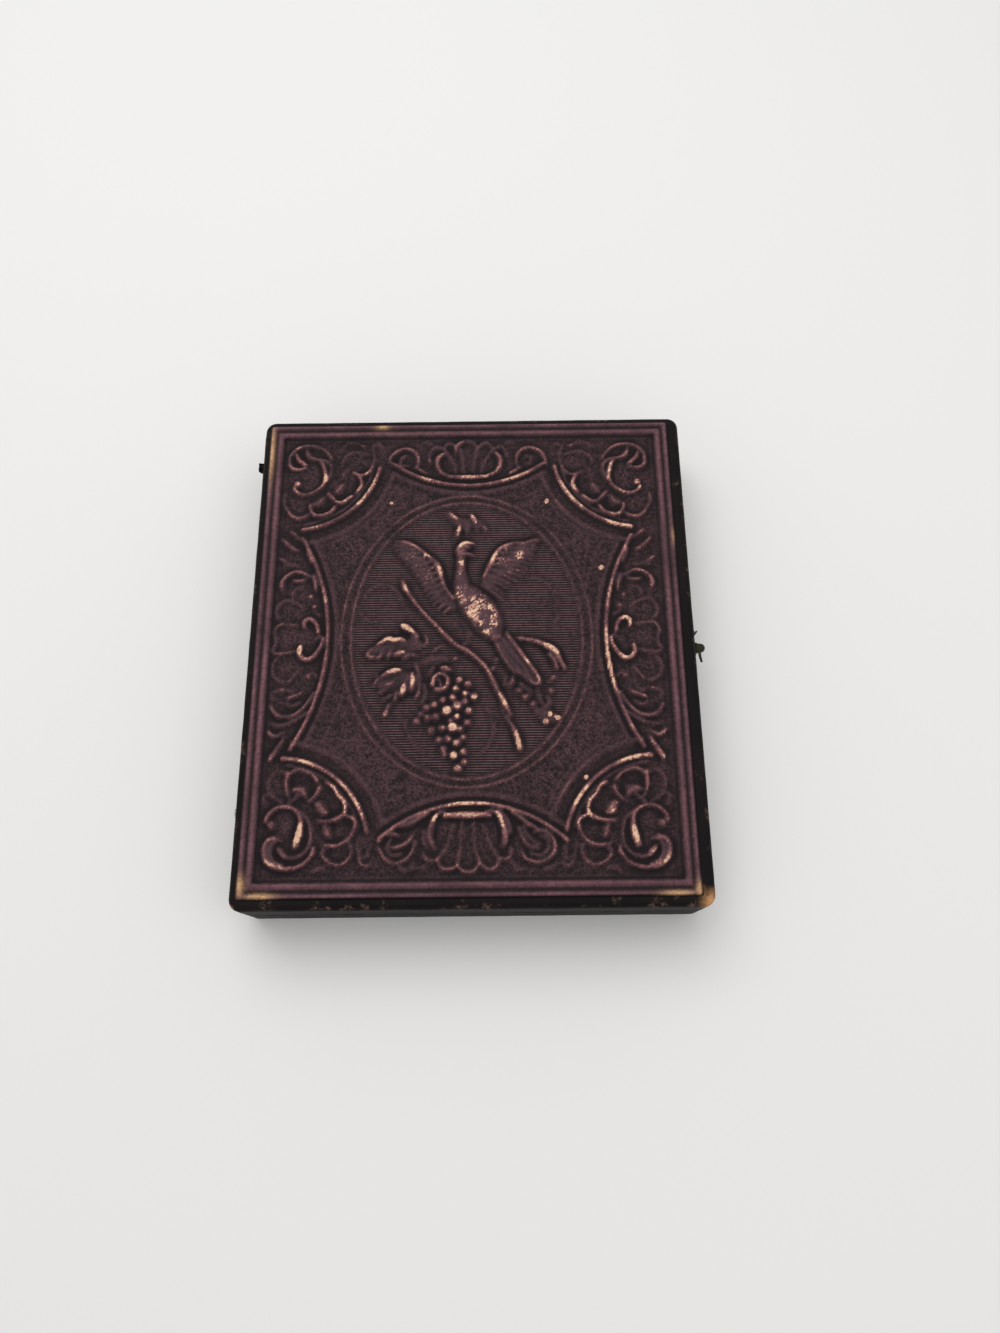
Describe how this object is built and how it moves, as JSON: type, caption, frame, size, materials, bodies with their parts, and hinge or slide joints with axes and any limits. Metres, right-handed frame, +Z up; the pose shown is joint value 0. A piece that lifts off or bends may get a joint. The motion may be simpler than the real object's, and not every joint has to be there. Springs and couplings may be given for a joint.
{
  "type": "daguerreotype case",
  "caption": "Hinged leather-covered wooden case that holds a small framed daguerreotype under a velvet pad and shuts with a side hook",
  "frame": {"origin": "Middle of the underside's crest plane, under the middle of the tray's footprint (the latch knob on one side doesn't count)", "axes": "Row 0 is +X towards the fore edge with the latch, row 1 is +Y towards the head, row 2 is +Z up through the lid"},
  "size_m": [0.0823, 0.092, 0.0166],
  "materials": {
    "case_wood": "bare pine, planed",
    "smooth_leather": "thin smooth leather, near black, worn at the edges",
    "embossed_leather": "pressed aubergine leather, crests rubbed pinkish",
    "velvet": "deep red silk velvet",
    "lining_paper": "thin aged paper",
    "pad_card": "grey-brown card",
    "gilt_brass": "gilt pressed sheet brass",
    "dark_brass": "darkened brass",
    "silvered_plate": "polished silver on copper",
    "cover_glass": "thin clear glass"
  },
  "bodies": {
    "tray": {"tray_board": "case_wood", "tray_rail_head": "case_wood", "tray_rail_foot": "case_wood", "tray_rail_hinge": "case_wood", "tray_rail_latch": "case_wood", "tray_side_leather": "smooth_leather", "tray_embossed_leather": "embossed_leather", "tray_lining_paper": "lining_paper", "retainer_head": "velvet", "retainer_foot": "velvet", "retainer_hinge": "velvet", "retainer_latch": "velvet", "silvered_plate": "silvered_plate", "brass_mat": "gilt_brass", "cover_glass": "cover_glass", "sealing_tape": "lining_paper", "preserver": "gilt_brass", "catch_plate": "dark_brass", "catch_pin": "dark_brass", "catch_nail": "dark_brass", "spine_leather": "smooth_leather", "inner_hinge": "velvet"},
    "lid": {"lid_board": "case_wood", "lid_rail_head": "case_wood", "lid_rail_foot": "case_wood", "lid_rail_hinge": "case_wood", "lid_rail_latch": "case_wood", "lid_side_leather": "smooth_leather", "lid_embossed_leather": "embossed_leather", "lid_pad_card": "pad_card", "lid_pad": "velvet", "hook_plate": "dark_brass", "hook_pivot": "dark_brass", "hook_nail": "dark_brass"},
    "hook": {"hook": "dark_brass"}
  },
  "joints": [
    {"name": "lid_hinge", "type": "hinge", "parent": "tray", "child": "lid", "pos_m": [-0.0402, 0, 0.0083], "axis": [0, -1, 0], "range_deg": [0, 180], "deforming": ["spine_leather", "inner_hinge"]},
    {"name": "hook_swing", "type": "hinge", "parent": "lid", "child": "hook", "pos_m": [0.0405, 0, 0.0115], "axis": [1, 0, 0], "range_deg": [-95, 15]}
  ]
}
